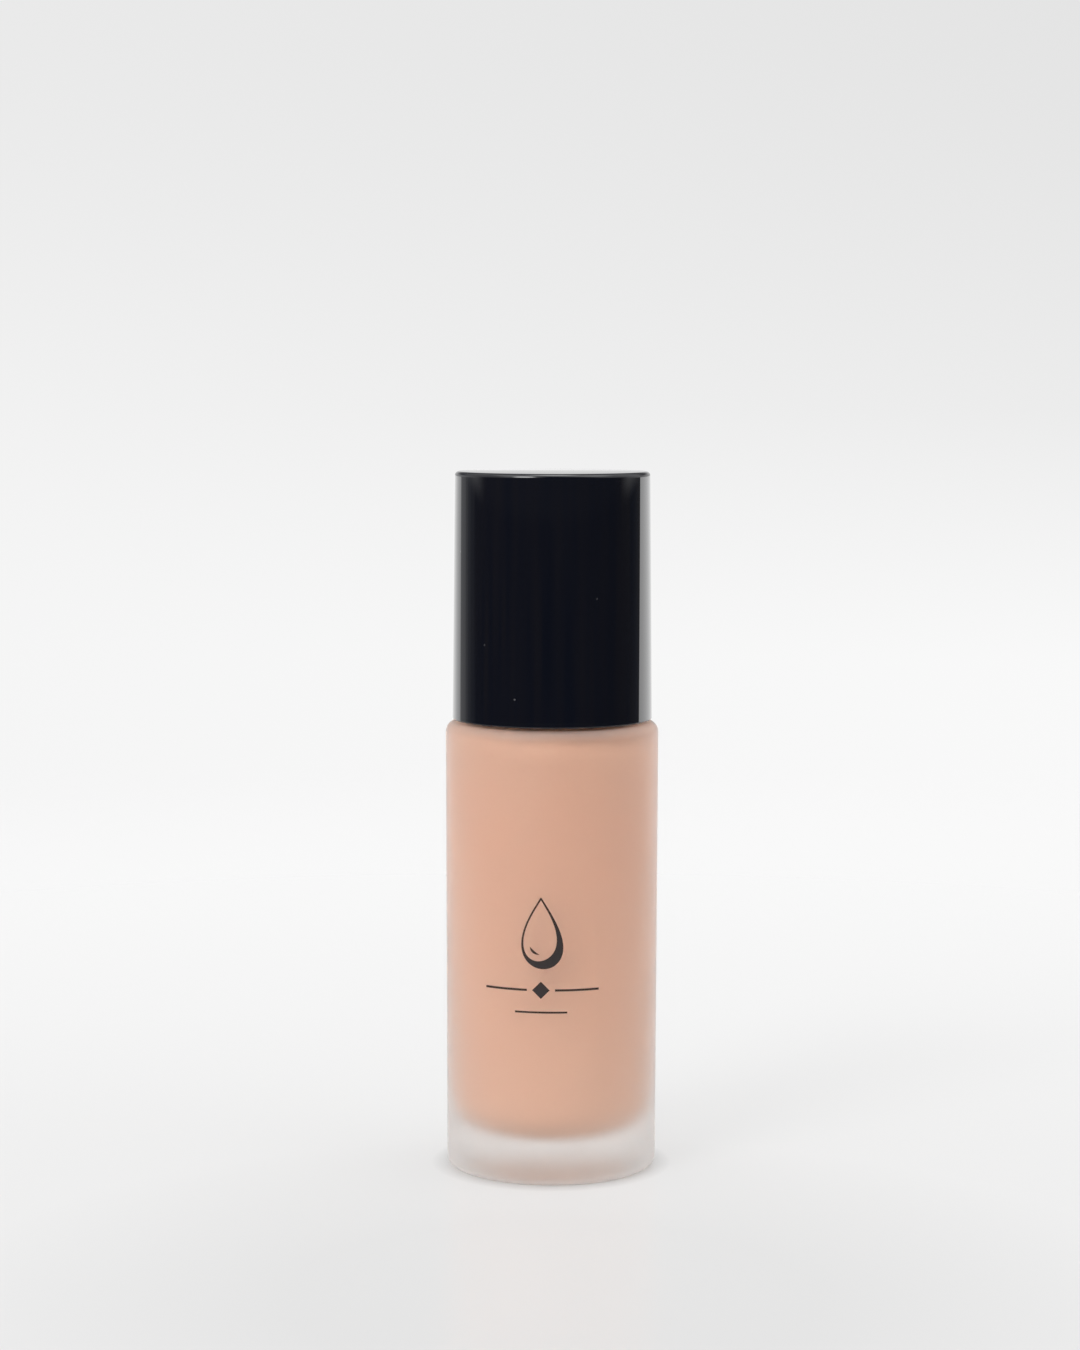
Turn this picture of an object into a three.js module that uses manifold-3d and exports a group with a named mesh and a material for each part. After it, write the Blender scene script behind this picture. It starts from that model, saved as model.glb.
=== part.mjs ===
// A 30 ml liquid foundation bottle: a frosted glass bottle with a heavy base, a screw-on
// treatment pump with its dip tube, and a glossy black overcap that pulls off upwards.
// Millimetres, +Z up. The origin is the centre of the base, on the surface the bottle stands on,
// and the pump's nozzle points along -Y.

import * as THREE from "three";
import { mergeVertices } from "three/addons/utils/BufferGeometryUtils.js";
import Module from "manifold-3d";

const wasm = await Module();
wasm.setup();

// ---- Driving dimensions ----

const FINE = 36; // facets round the large turned pieces
const MEDIUM = 20; // facets round the pump's own pieces
const SMALL = 16; // facets round tubes and pins

const bottle = {
  baseRadius: 16.0, // the wall widens a little towards the shoulder
  shoulderRadius: 16.2,
  shoulderZ: 68.45,
  baseCorner: 1.2,
  shoulderCorner: 1.7,
  innerRadius: 13.7,
  innerBaseRadius: 11.3, // the cavity narrows towards the heavy base
  innerCorner: 5.0,
  floorZ: 5.9, // thickness of the heavy base
  ceilingZ: 67.35,
  ceilingCorner: 0.5,
  pushUp: 1.2, // height of the hollow under the base
  ringInner: 10.2, // inner edge of the ring it stands on
};

const neck = {
  rootRadius: 8.9,
  boreRadius: 6.5,
  lipZ: bottle.shoulderZ + 9.3,
};

const thread = {
  pitch: 3.175, // 8 turns to the inch, and one turn of thread on each piece
  neckHeight: 0.8, // how far the glass ridge stands out
  closureHeight: 0.75, // how far the closure's ridge stands in
  footWidth: 1.8,
  crestWidth: 0.7,
  runOut: 0.12, // share of the turn that each end takes to run out
  neckStartZ: bottle.shoulderZ + 4.0,
};

const closure = {
  outerRadius: 11.3,
  innerRadius: 10.1,
  holeRadius: 6.9,
  bottomZ: bottle.shoulderZ + 0.8,
  discBottomZ: neck.lipZ + 2.5,
  discTopZ: neck.lipZ + 3.9,
  rimTopZ: neck.lipZ + 5.0,
};

const sleeve = {
  outerRadius: 12.4,
  innerRadius: 11.5,
  holeRadius: 6.9,
  bottomZ: bottle.shoulderZ + 0.6,
  topZ: 84.25,
  topThickness: 1.0,
};

const overcap = {
  bottomRadius: 15.2, // the outside narrows towards the top
  topRadius: 14.83,
  boreRadius: 13.7,
  bottomZ: 68.75,
  topZ: 106.35,
  topThickness: 1.4,
  topCorner: 0.8,
};

const liner = {
  outerRadius: 13.5,
  innerRadius: 12.85,
  ribTipRadius: 12.6, // the ribs grip the collar sleeve
  ribs: 12,
  ribWidth: 0.8,
  bottomZ: 69.25,
  topZ: 102.0,
};

const housing = {
  boreRadius: 3.75,
  barrelRadius: 4.7,
  shoulderRadius: 5.9, // where the barrel thickens inside the neck
  flangeRadius: 8.4,
  flangeBottomZ: neck.lipZ + 1.1,
  flangeTopZ: neck.lipZ + 2.2,
  rimRadius: 6.6,
  rimBoreRadius: 5.0,
  rimTopZ: 82.95,
  shelfZ: 57.05, // the spring seat lies on this
  socketTopZ: 52.45,
  socketBottomZ: 46.05,
  socketRadius: 1.85,
};

const gasket = { innerRadius: 6.3, outerRadius: 8.7, gap: 0.05 };

const stroke = 4.5; // how far the actuator goes down
const pistonSlip = 0.5; // how far the piston lags on its rod, which opens the way through it

const ball = { radius: 1.2, centreZ: 54.6, chamberRadius: 1.75 };
const springSeat = { radius: 3.5, boreRadius: 0.95, collarRadius: 1.8, bottomZ: 57.25, height: 2.6 };
const dipTube = { radius: 1.6, boreRadius: 0.95, topZ: 52.15, bottomZ: 8.1, cut: 1.6 };
const foundation = { gap: 0.25, levelZ: neck.lipZ - 9.0 };

const stem = { radius: 2.6, boreRadius: 1.6, bottomZ: 75.25, topZ: 93.95 };
const rod = { radius: 1.35, headRadius: 3.0, headBottomZ: 69.45, headTopZ: 70.55, topZ: 79.55 };
const piston = { radius: 3.6, boreRadius: 1.75, bottomZ: 70.75, topZ: stem.bottomZ - pistonSlip - 0.2 };
const spring = { radius: 2.35, wire: 0.25, coils: 7, bottomZ: 58.65, topZ: rod.headBottomZ - 0.35 };

const wiper = { radius: 3.6, bottomZ: 80.45, topZ: 81.95 };

const actuator = {
  radius: 8.0,
  bottomZ: 89.55,
  topZ: 99.45,
  wall: 1.0,
  topThickness: 1.4,
  dish: 0.6, // depth of the finger hollow
  nozzleZ: 95.85,
  nozzleRadius: 1.9,
  nozzleInner: 4.4, // from the axis to the nozzle's inner end
  nozzleReach: 11.0, // from the axis to its tip
};

// ---- Materials ----

const material = (color, roughness, metalness = 0, extra = {}) =>
  new THREE.MeshStandardMaterial({ color, roughness, metalness, ...extra });

const frostedGlass = material(0xd8d0ca, 0.55, 0, { transparent: true, opacity: 0.5 });
const peachFluid = material(0xd9a88d, 0.4);
const glossBlack = material(0x0c0e14, 0.08);
const satinBlack = material(0x15161a, 0.35);
const naturalPlastic = material(0xe9e8e2, 0.45);
const whiteFoam = material(0xf0efe9, 0.85);
const stainless = material(0xb9bcc0, 0.25, 1);

// ---- Geometry helpers ----

// An outline of corners [radius, z, fillet], with each fillet drawn as an arc of a few steps.
// A closed outline joins its last corner to its first; an open one starts and ends on the axis.
function rounded(corners, closed, steps = 2) {
  const points = [];
  corners.forEach(([r, z, fillet], i) => {
    const corner = new THREE.Vector2(r, z);
    const isEnd = !closed && (i === 0 || i === corners.length - 1);
    if (!fillet || isEnd) {
      points.push(corner);
      return;
    }
    const neighbour = (j) => new THREE.Vector2(...corners[(j + corners.length) % corners.length]);
    const back = neighbour(i - 1).sub(corner).normalize();
    const ahead = neighbour(i + 1).sub(corner).normalize();
    const halfAngle = Math.acos(THREE.MathUtils.clamp(back.dot(ahead), -1, 1)) / 2;
    const start = corner.clone().addScaledVector(back, fillet / Math.tan(halfAngle));
    const toCentre = back.clone().add(ahead).normalize();
    const centre = corner.clone().addScaledVector(toCentre, fillet / Math.sin(halfAngle));
    const sweep = (Math.PI - 2 * halfAngle) * Math.sign(ahead.cross(back));
    for (let k = 0; k <= steps; k++) {
      points.push(start.clone().rotateAround(centre, (sweep * k) / steps));
    }
  });
  if (closed) points.push(points[0].clone());
  return points;
}

// A ring turned round Z from a closed outline, which runs anticlockwise with radius to the right.
const turnedRing = (corners, facets, steps) =>
  new THREE.LatheGeometry(rounded(corners, true, steps), facets).rotateX(Math.PI / 2);

// A body turned round Z whose outline starts on the axis at the bottom and ends on it at the top.
const turnedBody = (corners, facets, steps) =>
  new THREE.LatheGeometry(rounded(corners, false, steps), facets).rotateX(Math.PI / 2);

function solid(geometry) {
  const bare = new THREE.BufferGeometry();
  bare.setAttribute("position", geometry.getAttribute("position").clone());
  bare.setIndex(geometry.index);
  const merged = mergeVertices(bare, 1e-4);
  return new wasm.Manifold(
    new wasm.Mesh({
      numProp: 3,
      vertProperties: merged.attributes.position.array,
      triVerts: new Uint32Array(merged.index.array),
    }),
  );
}

function geometryOf(manifold) {
  const mesh = manifold.getMesh();
  const geometry = new THREE.BufferGeometry();
  geometry.setAttribute("position", new THREE.BufferAttribute(mesh.vertProperties, 3));
  geometry.setIndex(new THREE.BufferAttribute(mesh.triVerts, 1));
  return geometry;
}

// A cylinder from one point to another.
function rodBetween(from, to, radius, facets = SMALL) {
  const start = new THREE.Vector3(...from);
  const along = new THREE.Vector3(...to).sub(start);
  const turn = new THREE.Quaternion().setFromUnitVectors(
    new THREE.Vector3(0, 1, 0),
    along.clone().normalize(),
  );
  return new THREE.CylinderGeometry(radius, radius, along.length(), facets)
    .applyQuaternion(turn)
    .translate(...start.addScaledVector(along, 0.5));
}

// The corners of a thread's section on a straight wall, at a share of its one turn. The ridge climbs
// with the share and runs out to nothing at both ends. height is negative where it stands inwards.
function threadSection(share, wallRadius, height, startZ) {
  const z = startZ + share * thread.pitch;
  const full = Math.min(1, Math.min(share, 1 - share) / thread.runOut);
  const crestRadius = wallRadius + height * full;
  return [
    [wallRadius, z - thread.footWidth / 2],
    [crestRadius, z - thread.crestWidth / 2],
    [crestRadius, z + thread.crestWidth / 2],
    [wallRadius, z + thread.footWidth / 2],
  ];
}

// A piece turned from an outline that changes as it goes round, with the same number of points
// all the way. outlineAt gives it at each share of the turn.
function turnedWithThread(outlineAt, facets) {
  const lathe = new THREE.LatheGeometry(outlineAt(0), facets);
  const position = lathe.getAttribute("position");
  for (let i = 0; i <= facets; i++) {
    const angle = (i / facets) * 2 * Math.PI;
    const outline = outlineAt((i % facets) / facets);
    outline.forEach(({ x: r, y: z }, j) => {
      position.setXYZ(i * outline.length + j, r * Math.sin(angle), z, r * Math.cos(angle));
    });
  }
  return lathe.rotateX(Math.PI / 2);
}

class Coil extends THREE.Curve {
  constructor(radius, bottomZ, topZ, coils) {
    super();
    Object.assign(this, { radius, bottomZ, topZ, coils, arcLengthDivisions: 900 });
  }

  getPoint(t, target = new THREE.Vector3()) {
    const angle = t * this.coils * 2 * Math.PI;
    const z = THREE.MathUtils.lerp(this.bottomZ, this.topZ, t);
    return target.set(this.radius * Math.cos(angle), this.radius * Math.sin(angle), z);
  }
}

// ---- The bottle and what is in it ----

function bottleGeometry() {
  const { baseRadius, shoulderRadius, shoulderZ, floorZ, ceilingZ } = bottle;
  const outlineAt = (share) =>
    rounded(
      [
        [0, bottle.pushUp],
        [bottle.ringInner - 2.4, bottle.pushUp * 0.75, 4],
        [bottle.ringInner, 0, 0.5],
        [baseRadius, 0, bottle.baseCorner],
        [shoulderRadius, shoulderZ, bottle.shoulderCorner],
        [neck.rootRadius, shoulderZ, 0.7],
        ...threadSection(share, neck.rootRadius, thread.neckHeight, thread.neckStartZ),
        [neck.rootRadius, neck.lipZ, 0.5],
        [neck.boreRadius, neck.lipZ, 0.4],
        [neck.boreRadius, ceilingZ, 0.8],
        [bottle.innerRadius, ceilingZ, bottle.ceilingCorner],
        [bottle.innerBaseRadius, floorZ, bottle.innerCorner],
        [0, floorZ - 0.2],
      ],
      false,
    );
  return turnedWithThread(outlineAt, FINE);
}

// The fluid fills the bottle round the pump and the foot of its neck, a hair short of the glass.
function foundationGeometry() {
  const { gap, levelZ } = foundation;
  const barrelRoom = housing.barrelRadius + 0.3;
  const socketRoom = 3.2;
  const tubeRoom = dipTube.radius + 0.35;
  return turnedBody(
    [
      [0, bottle.floorZ + gap],
      [bottle.innerBaseRadius - gap, bottle.floorZ + gap, bottle.innerCorner],
      [bottle.innerRadius - gap, bottle.ceilingZ - gap, bottle.ceilingCorner],
      [neck.boreRadius - gap, bottle.ceilingZ - gap, 0.8 + gap],
      [neck.boreRadius - gap, levelZ],
      [barrelRoom, levelZ],
      [barrelRoom, housing.shelfZ - 0.9],
      [socketRoom, housing.shelfZ - 3.4],
      [socketRoom, housing.socketBottomZ - 0.4],
      [tubeRoom, housing.socketBottomZ - 0.4],
      [tubeRoom, dipTube.bottomZ - 0.4],
      [0, dipTube.bottomZ - 0.4],
    ],
    FINE,
  );
}

// ---- The overcap ----

function overcapShellGeometry() {
  const ceilingZ = overcap.topZ - overcap.topThickness;
  return turnedBody(
    [
      [0, ceilingZ],
      [overcap.boreRadius, ceilingZ, 0.8],
      [overcap.boreRadius, overcap.bottomZ, 0.2],
      [overcap.bottomRadius, overcap.bottomZ, 0.25],
      [overcap.topRadius, overcap.topZ, overcap.topCorner],
      [0, overcap.topZ],
    ],
    FINE,
    3,
  );
}

// A sleeve inside the overcap, with upright ribs that grip the collar.
function overcapLinerGeometry() {
  const { outerRadius, innerRadius, ribTipRadius, bottomZ, topZ } = liner;
  const tube = turnedRing(
    [
      [innerRadius, bottomZ, 0.2],
      [outerRadius, bottomZ, 0.2],
      [outerRadius, topZ],
      [innerRadius, topZ],
    ],
    FINE,
    2,
  );
  const depth = innerRadius + 0.2 - ribTipRadius;
  const height = topZ - bottomZ - 4;
  const rib = new THREE.BoxGeometry(depth, liner.ribWidth, height).translate(
    ribTipRadius + depth / 2,
    0,
    (bottomZ + topZ) / 2,
  );
  let joined = solid(tube);
  for (let i = 0; i < liner.ribs; i++) {
    joined = joined.add(solid(rib.clone().rotateZ((i * 2 * Math.PI) / liner.ribs)));
  }
  return geometryOf(joined);
}

// ---- The collar ----

function closureGeometry() {
  const { outerRadius, innerRadius, holeRadius, bottomZ, discBottomZ, discTopZ, rimTopZ } = closure;
  const rimWidth = 1.6;
  const startZ = thread.neckStartZ - thread.pitch / 2; // half a pitch under the neck's ridge
  const outlineAt = (share) =>
    rounded(
      [
        [innerRadius, bottomZ, 0.3],
        [outerRadius, bottomZ, 0.3],
        [outerRadius, rimTopZ, 0.4],
        [outerRadius - rimWidth, rimTopZ, 0.3],
        [outerRadius - rimWidth, discTopZ],
        [holeRadius, discTopZ],
        [holeRadius, discBottomZ],
        [innerRadius, discBottomZ],
        ...threadSection(share, innerRadius, -thread.closureHeight, startZ).reverse(),
      ],
      true,
    );
  return turnedWithThread(outlineAt, FINE);
}

const collarSleeveGeometry = () =>
  turnedRing(
    [
      [sleeve.innerRadius, sleeve.bottomZ, 0.2],
      [sleeve.outerRadius, sleeve.bottomZ, 0.3],
      [sleeve.outerRadius, sleeve.topZ, 0.9],
      [sleeve.holeRadius, sleeve.topZ, 0.3],
      [sleeve.holeRadius, sleeve.topZ - sleeve.topThickness],
      [sleeve.innerRadius, sleeve.topZ - sleeve.topThickness, 0.3],
    ],
    FINE,
  );

// ---- The pump ----

function housingGeometry() {
  const { boreRadius, barrelRadius, shelfZ, socketRadius, flangeBottomZ, flangeTopZ } = housing;
  const seatZ = ball.centreZ - 1.15;
  const inletRadius = 0.75;
  const socketWall = 1.0;
  return turnedRing(
    [
      [socketRadius, housing.socketBottomZ],
      [socketRadius + socketWall, housing.socketBottomZ, 0.3],
      [socketRadius + socketWall, shelfZ - 3.2],
      [barrelRadius, shelfZ - 0.9],
      [barrelRadius, flangeBottomZ - 4.2],
      [housing.shoulderRadius, flangeBottomZ - 3.0],
      [housing.shoulderRadius, flangeBottomZ],
      [housing.flangeRadius, flangeBottomZ],
      [housing.flangeRadius, flangeTopZ],
      [housing.rimRadius, flangeTopZ],
      [housing.rimRadius, housing.rimTopZ, 0.2],
      [housing.rimBoreRadius, housing.rimTopZ],
      [housing.rimBoreRadius, flangeBottomZ + 0.2],
      [boreRadius, flangeBottomZ - 0.8],
      [boreRadius, shelfZ],
      [ball.chamberRadius, shelfZ],
      [ball.chamberRadius, seatZ + 1.3],
      [inletRadius, seatZ],
      [inletRadius, housing.socketTopZ],
      [socketRadius, housing.socketTopZ],
    ],
    MEDIUM,
  );
}

// A flanged bush that keeps the ball in its chamber and centres the foot of the spring.
const springSeatGeometry = () =>
  turnedRing(
    [
      [springSeat.boreRadius, springSeat.bottomZ],
      [springSeat.radius, springSeat.bottomZ, 0.2],
      [springSeat.radius, spring.bottomZ - spring.wire - 0.1],
      [springSeat.collarRadius, spring.bottomZ - spring.wire - 0.1],
      [springSeat.collarRadius, springSeat.bottomZ + springSeat.height, 0.3],
      [springSeat.boreRadius, springSeat.bottomZ + springSeat.height],
    ],
    MEDIUM,
    2,
  );

// The ring that closes the top of the housing and guides the stem.
function stemGuideGeometry() {
  const plugRadius = housing.rimBoreRadius - 0.2;
  const plugBottomZ = housing.flangeTopZ;
  const topZ = actuator.bottomZ - stroke - 0.1; // the actuator comes down to here
  return turnedRing(
    [
      [wiper.radius + 0.15, plugBottomZ],
      [plugRadius, plugBottomZ, 0.2],
      [plugRadius, housing.rimTopZ + 0.2],
      [housing.rimRadius, housing.rimTopZ + 0.2],
      [housing.rimRadius, topZ, 0.5],
      [stem.radius + 0.25, topZ, 0.3],
      [stem.radius + 0.25, wiper.topZ + 0.15],
      [wiper.radius + 0.15, wiper.topZ + 0.15],
    ],
    MEDIUM,
  );
}

const wiperGeometry = () =>
  turnedRing(
    [
      [stem.radius + 0.12, wiper.bottomZ, 0.25],
      [wiper.radius, wiper.bottomZ],
      [wiper.radius, wiper.topZ],
      [stem.radius + 0.12, wiper.topZ, 0.25],
    ],
    MEDIUM,
    2,
  );

const gasketGeometry = () =>
  turnedRing(
    [
      [gasket.innerRadius, neck.lipZ + gasket.gap],
      [gasket.outerRadius, neck.lipZ + gasket.gap],
      [gasket.outerRadius, housing.flangeBottomZ - gasket.gap],
      [gasket.innerRadius, housing.flangeBottomZ - gasket.gap],
    ],
    MEDIUM,
  );

// The dip tube's foot is cut on a slant, so that the bottle's floor can't close it.
function dipTubeGeometry() {
  const { radius, boreRadius, topZ, bottomZ, cut } = dipTube;
  const tube = solid(rodBetween([0, 0, bottomZ], [0, 0, topZ], radius));
  const bore = solid(rodBetween([0, 0, bottomZ - 1], [0, 0, topZ + 1], boreRadius));
  const size = 12;
  const knife = new THREE.BoxGeometry(size, size, size)
    .translate(0, 0, -size / 2)
    .rotateY(Math.atan2(cut, 2 * radius))
    .translate(0, 0, bottomZ + cut / 2);
  return geometryOf(tube.subtract(bore).subtract(solid(knife)));
}

const ballGeometry = () =>
  new THREE.SphereGeometry(ball.radius, 16, 10).rotateX(Math.PI / 2).translate(0, 0, ball.centreZ);

function springGeometry() {
  const stepsPerCoil = 13;
  const section = new THREE.Shape();
  section.absarc(0, 0, spring.wire, 0, 2 * Math.PI);
  return new THREE.ExtrudeGeometry(section, {
    steps: spring.coils * stepsPerCoil,
    curveSegments: 3,
    bevelEnabled: false,
    extrudePath: new Coil(spring.radius, spring.bottomZ, spring.topZ, spring.coils),
  });
}

// The rod hangs from the stem, with flutes that let the fluid past. Its head closes the piston at
// rest, and the spigot under the head centres the spring.
function rodGeometry() {
  const { radius, headRadius, headBottomZ, headTopZ, topZ } = rod;
  const spigotRadius = 1.75;
  const spigotLength = 2.2;
  const fluteRadius = 0.45;
  const fluteOffset = 1.3; // from the rod's axis to the flute's
  const body = turnedBody(
    [
      [0, headBottomZ - spigotLength],
      [spigotRadius, headBottomZ - spigotLength, 0.5],
      [spigotRadius, headBottomZ],
      [headRadius, headBottomZ, 0.2],
      [headRadius, headTopZ - 0.3],
      [radius, headTopZ],
      [radius, topZ, 0.3],
      [0, topZ],
    ],
    SMALL,
    2,
  );
  const flutes = 4;
  let cut = solid(body);
  for (let i = 0; i < flutes; i++) {
    const angle = ((i + 0.5) * 2 * Math.PI) / flutes;
    const [x, y] = [fluteOffset * Math.cos(angle), fluteOffset * Math.sin(angle)];
    const flute = rodBetween([x, y, headTopZ + 0.4], [x, y, topZ + 1], fluteRadius, 8);
    cut = cut.subtract(solid(flute));
  }
  return geometryOf(cut);
}

// A cup-lipped piston that seals on the housing's bore.
function pistonGeometry() {
  const { radius, boreRadius, bottomZ, topZ } = piston;
  const hubRadius = 2.5; // the groove behind each lip runs from here
  const grooveRadius = 2.9;
  const waistRadius = 3.3;
  return turnedRing(
    [
      [boreRadius, bottomZ],
      [hubRadius, bottomZ, 0.1],
      [grooveRadius, bottomZ + 0.6],
      [radius - 0.15, bottomZ],
      [radius, bottomZ + 0.4],
      [waistRadius, bottomZ + 1.4],
      [waistRadius, topZ - 1.4],
      [radius, topZ - 0.4],
      [radius - 0.15, topZ],
      [grooveRadius, topZ - 0.6],
      [hubRadius, topZ, 0.1],
      [boreRadius, topZ],
    ],
    MEDIUM,
  );
}

const stemGeometry = () =>
  turnedRing(
    [
      [stem.boreRadius, stem.bottomZ],
      [stem.radius, stem.bottomZ, 0.2],
      [stem.radius, stem.topZ, 0.3],
      [stem.boreRadius, stem.topZ],
    ],
    SMALL,
    2,
  );

// ---- The actuator ----

// The inner body, which carries the fluid from the stem across to the nozzle.
function actuatorCoreGeometry() {
  const radius = actuator.radius - actuator.wall - 0.1;
  const hubRadius = 4.4;
  const bottomZ = actuator.bottomZ + 0.5;
  const plateZ = actuator.bottomZ + 3.6;
  const topZ = actuator.topZ - actuator.topThickness - 0.3;
  const body = turnedBody(
    [
      [0, bottomZ],
      [hubRadius, bottomZ, 0.3],
      [hubRadius, plateZ],
      [radius, plateZ],
      [radius, topZ, 0.3],
      [0, topZ],
    ],
    MEDIUM,
    2,
  );
  const channelRadius = 0.9;
  const { nozzleZ } = actuator;
  const bores = [
    rodBetween([0, 0, actuator.bottomZ], [0, 0, stem.topZ + 0.1], stem.radius + 0.12), // the stem's
    rodBetween([0, 0, stem.topZ - 1], [0, 0, nozzleZ], channelRadius, 12),
    rodBetween([0, channelRadius, nozzleZ], [0, -6, nozzleZ], channelRadius, 12),
    rodBetween(
      [0, 0.2 - actuator.nozzleInner, nozzleZ],
      [0, -radius - 1, nozzleZ],
      actuator.nozzleRadius + 0.1,
    ),
  ];
  return geometryOf(bores.reduce((left, bore) => left.subtract(solid(bore)), solid(body)));
}

// The outer cover, dished on top for a fingertip, with a hole in its side for the nozzle.
function actuatorCoverGeometry() {
  const { radius, wall, topZ, bottomZ, topThickness, dish, nozzleZ } = actuator;
  const body = turnedBody(
    [
      [0, topZ - topThickness],
      [radius - wall, topZ - topThickness, 0.3],
      [radius - wall, bottomZ, 0.2],
      [radius, bottomZ, 0.3],
      [radius, topZ, 0.9],
      [radius - 1.6, topZ, 2],
      [radius - 4.6, topZ - dish, 4],
      [0, topZ - dish],
    ],
    FINE,
  );
  const hole = rodBetween([0, -4, nozzleZ], [0, -12, nozzleZ], actuator.nozzleRadius + 0.1);
  return geometryOf(solid(body).subtract(solid(hole)));
}

function nozzleGeometry() {
  const { nozzleRadius, nozzleInner, nozzleReach, nozzleZ } = actuator;
  const boreRadius = 0.7;
  const mouthRadius = 1.15;
  const tube = turnedRing(
    [
      [boreRadius, nozzleInner],
      [nozzleRadius, nozzleInner],
      [nozzleRadius, nozzleReach - 0.8],
      [nozzleRadius - 0.35, nozzleReach, 0.2],
      [mouthRadius, nozzleReach],
      [boreRadius, nozzleReach - 0.9],
    ],
    SMALL,
    2,
  );
  return tube.rotateX(Math.PI / 2).translate(0, 0, nozzleZ);
}

// ---- Assembly: one group for each piece of the bottle that comes away by itself ----

function named(name, geometry, look) {
  const mesh = new THREE.Mesh(geometry, look);
  mesh.name = name;
  return mesh;
}

const glassBottle = new THREE.Group().add(
  named("glass_bottle", bottleGeometry(), frostedGlass),
  named("foundation_fluid", foundationGeometry(), peachFluid),
);

const overcapGroup = new THREE.Group().add(
  named("overcap_shell", overcapShellGeometry(), glossBlack),
  named("overcap_liner", overcapLinerGeometry(), satinBlack),
);

const collar = new THREE.Group().add(
  named("threaded_closure", closureGeometry(), naturalPlastic),
  named("collar_sleeve", collarSleeveGeometry(), glossBlack),
);

const pump = new THREE.Group().add(
  named("pump_housing", housingGeometry(), naturalPlastic),
  named("stem_guide", stemGuideGeometry(), naturalPlastic),
  named("stem_wiper", wiperGeometry(), naturalPlastic),
  named("neck_gasket", gasketGeometry(), whiteFoam),
  named("dip_tube", dipTubeGeometry(), naturalPlastic),
  named("inlet_ball", ballGeometry(), stainless),
  named("spring_seat", springSeatGeometry(), naturalPlastic),
  named("return_spring", springGeometry(), stainless),
  named("valve_rod", rodGeometry(), naturalPlastic),
  named("piston", pistonGeometry(), naturalPlastic),
  named("stem", stemGeometry(), naturalPlastic),
);

const pumpHead = new THREE.Group().add(
  named("actuator_core", actuatorCoreGeometry(), naturalPlastic),
  named("actuator_cover", actuatorCoverGeometry(), glossBlack),
  named("nozzle_insert", nozzleGeometry(), glossBlack),
);

const foundationBottle = new THREE.Group();
foundationBottle.add(glassBottle, overcapGroup, collar, pump, pumpHead);

export default foundationBottle;
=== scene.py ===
"""The looks of a 30 ml liquid foundation bottle, built round its CAD frame.

Every turned piece is a fine lathed mesh with real edge radii. Lengths in the outlines are in
millimetres, and a mesh is scaled to metres as it is made.
"""

import math

import bmesh
import bpy
from mathutils import Matrix, Vector


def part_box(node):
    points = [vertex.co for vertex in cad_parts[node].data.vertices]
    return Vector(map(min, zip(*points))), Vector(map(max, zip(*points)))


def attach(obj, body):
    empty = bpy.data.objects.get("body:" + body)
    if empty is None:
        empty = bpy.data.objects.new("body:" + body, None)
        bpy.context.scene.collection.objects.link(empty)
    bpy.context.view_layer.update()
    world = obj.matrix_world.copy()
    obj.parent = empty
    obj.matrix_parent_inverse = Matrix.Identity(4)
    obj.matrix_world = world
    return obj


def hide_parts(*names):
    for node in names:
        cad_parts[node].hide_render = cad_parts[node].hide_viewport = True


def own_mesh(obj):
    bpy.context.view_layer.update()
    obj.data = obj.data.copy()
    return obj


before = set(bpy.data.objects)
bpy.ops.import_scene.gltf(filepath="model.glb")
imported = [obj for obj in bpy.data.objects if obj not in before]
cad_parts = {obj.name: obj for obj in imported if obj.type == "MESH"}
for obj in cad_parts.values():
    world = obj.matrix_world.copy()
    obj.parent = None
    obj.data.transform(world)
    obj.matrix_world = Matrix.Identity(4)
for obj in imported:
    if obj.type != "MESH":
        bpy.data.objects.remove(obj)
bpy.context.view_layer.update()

MM = 0.001
TURN = 2 * math.pi
FRONT = -math.pi / 2  # the angle of -Y, which the print and the nozzle face
SHARP_DEG = 35  # an edge bent further than this is shaded sharp


# ---- Sizes: the frame gives the outer ones, and the rest repeat the CAD's ----


def reach(node):
    """How far a CAD node stands from the axis along X, in mm."""
    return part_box(node)[1].x / MM


def bottom(node):
    """A CAD node's lowest point, in mm."""
    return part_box(node)[0].z / MM


def top(node):
    """A CAD node's highest point, in mm."""
    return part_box(node)[1].z / MM


GLASS_RADIUS = reach("glass_bottle")
GLASS_BASE_RADIUS = GLASS_RADIUS - 0.2  # the wall widens a little towards the shoulder
SHOULDER_Z = 68.45
LIP_Z = top("glass_bottle")
INNER_RADIUS = 13.7  # the cavity narrows towards the heavy base
INNER_BASE_RADIUS = 11.3
INNER_CORNER = 5.0
FLOOR_Z = 5.9
FLOOR_DISH = 0.2  # the cavity's floor is this much lower at the axis
CEILING_Z = 67.35
CEILING_CORNER = 0.5
NECK_RADIUS = 8.9
NECK_BORE = 6.5
NECK_CORNER = 0.8  # where the bore meets the cavity

THREAD_PITCH = 3.175
THREAD_Z = SHOULDER_Z + 4.0
THREAD_FOOT = 1.8
THREAD_CREST = 0.7
THREAD_RUN_OUT = 0.12  # share of the turn that each end takes to run out

CAP_TAPER = 0.37  # how much narrower the cap is at its top, to a side
CAP_BORE = 13.7
CAP_CORNER = 0.72  # a little sharper than the CAD's
LINER_RIBS = 12

FLANGE_Z = top("neck_gasket") + 0.05
RIM_RADIUS = 6.6  # of the housing's rim, and of the stem guide that lies on it
HOUSING_BORE = 3.75
BARREL_RADIUS = 4.7
SHELF_Z = bottom("spring_seat") - 0.2
SOCKET_TOP_Z = top("dip_tube") + 0.3
WIPER_RADIUS = reach("stem_wiper")
STEM_RADIUS = reach("stem")
STEM_TOP_Z = top("stem")

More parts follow.
